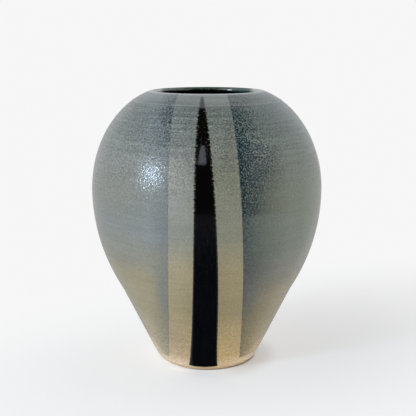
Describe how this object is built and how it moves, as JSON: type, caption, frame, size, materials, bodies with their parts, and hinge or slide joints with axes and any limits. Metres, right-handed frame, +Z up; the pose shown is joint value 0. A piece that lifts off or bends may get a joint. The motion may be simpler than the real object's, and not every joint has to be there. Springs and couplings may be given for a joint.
{
  "type": "stoneware vase",
  "caption": "Round-shouldered stoneware vase narrowing to a small foot, with a sprayed satin glaze, a tapered gloss black stripe between pale bands and a dark glazed inside.",
  "frame": {"origin": "centre of the foot, on the surface that the vase stands on", "axes": "+Z up along the axis on which the vase was thrown, -Y towards the front with the black stripe, +X to the right of it"},
  "size_m": [0.2439, 0.2442, 0.29],
  "materials": {
    "bare_clay": "fired stoneware, unglazed and matt",
    "tan_glaze": "satin glaze with a fine orange-peel skin",
    "blue_grey_glaze": "sprayed satin glaze with a fine orange-peel skin",
    "black_glaze": "gloss black glaze",
    "dark_green_glaze": "gloss green-black glaze"
  },
  "bodies": {
    "root": {"clay_body": "bare_clay", "base_glaze": "tan_glaze", "sprayed_glaze": "blue_grey_glaze", "black_stripe": "black_glaze", "liner_glaze": "dark_green_glaze"}
  },
  "joints": []
}
